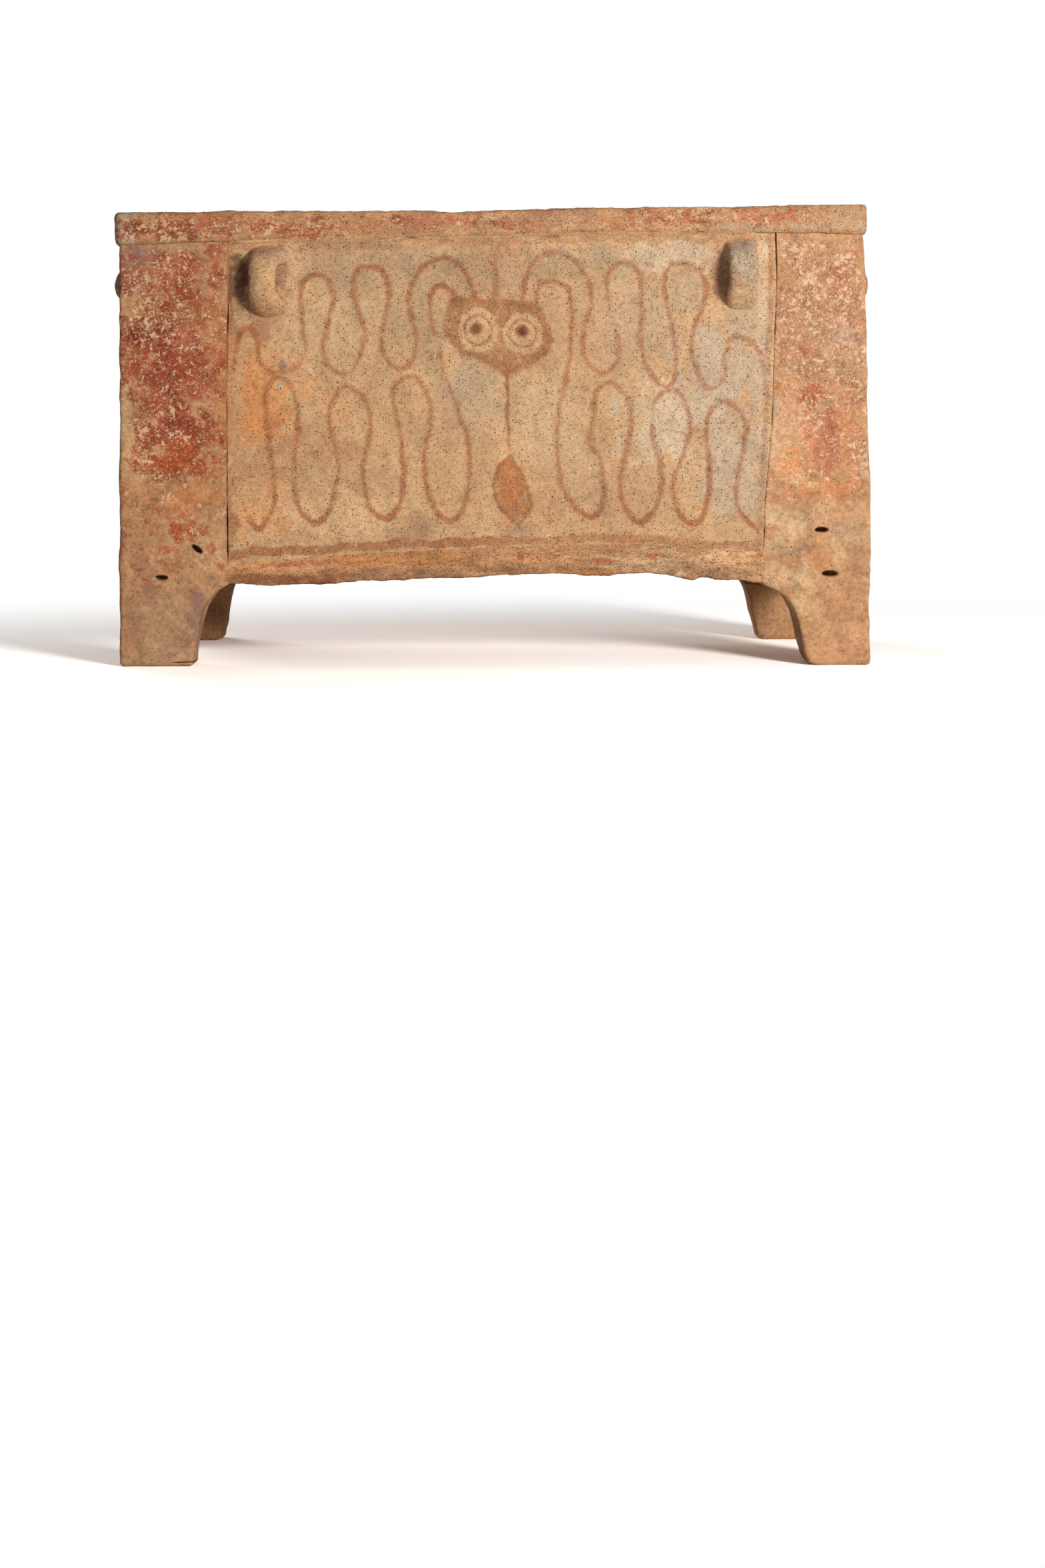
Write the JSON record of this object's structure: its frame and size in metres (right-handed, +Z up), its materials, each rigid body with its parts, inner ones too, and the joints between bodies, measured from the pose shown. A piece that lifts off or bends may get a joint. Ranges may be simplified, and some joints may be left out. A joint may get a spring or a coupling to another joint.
{
  "type": "larnax",
  "caption": "Open rectangular fired-clay burial chest on legs, with corner posts, recessed panels, a rounded rim band, strap handles and a painted front.",
  "frame": {"origin": "on the ground, under the middle of the chest's overall length and depth", "axes": "+X along the chest to the right as its painted front is seen, -Y out of the painted front, +Z up"},
  "size_m": [1.1642, 0.5462, 0.663],
  "materials": {
    "post_clay": "unglazed fired clay under a worn, flaking red paint",
    "painted_panel_clay": "smoothed buff slip with a sea creature and frame bands in brownish red paint",
    "panel_clay": "smoothed buff slip with frame bands in brownish red paint",
    "rail_clay": "rough, gritty unglazed clay, wiped lengthwise",
    "rim_clay": "gritty unglazed clay with worn red paint",
    "floor_clay": "plain gritty unglazed clay",
    "handle_clay": "gritty buff clay, smoothed by hand"
  },
  "bodies": {
    "root": {"front_left_post": "post_clay", "front_right_post": "post_clay", "back_left_post": "post_clay", "back_right_post": "post_clay", "front_panel": "painted_panel_clay", "back_panel": "panel_clay", "left_end_panel": "panel_clay", "right_end_panel": "panel_clay", "front_rail": "rail_clay", "back_rail": "rail_clay", "left_end_rail": "rail_clay", "right_end_rail": "rail_clay", "front_rim": "rim_clay", "back_rim": "rim_clay", "left_end_rim": "rim_clay", "right_end_rim": "rim_clay", "floor_slab": "floor_clay", "front_left_handle": "handle_clay", "front_right_handle": "handle_clay", "back_left_handle": "handle_clay", "back_right_handle": "handle_clay", "left_end_handle": "handle_clay", "right_end_handle": "handle_clay"}
  },
  "joints": []
}
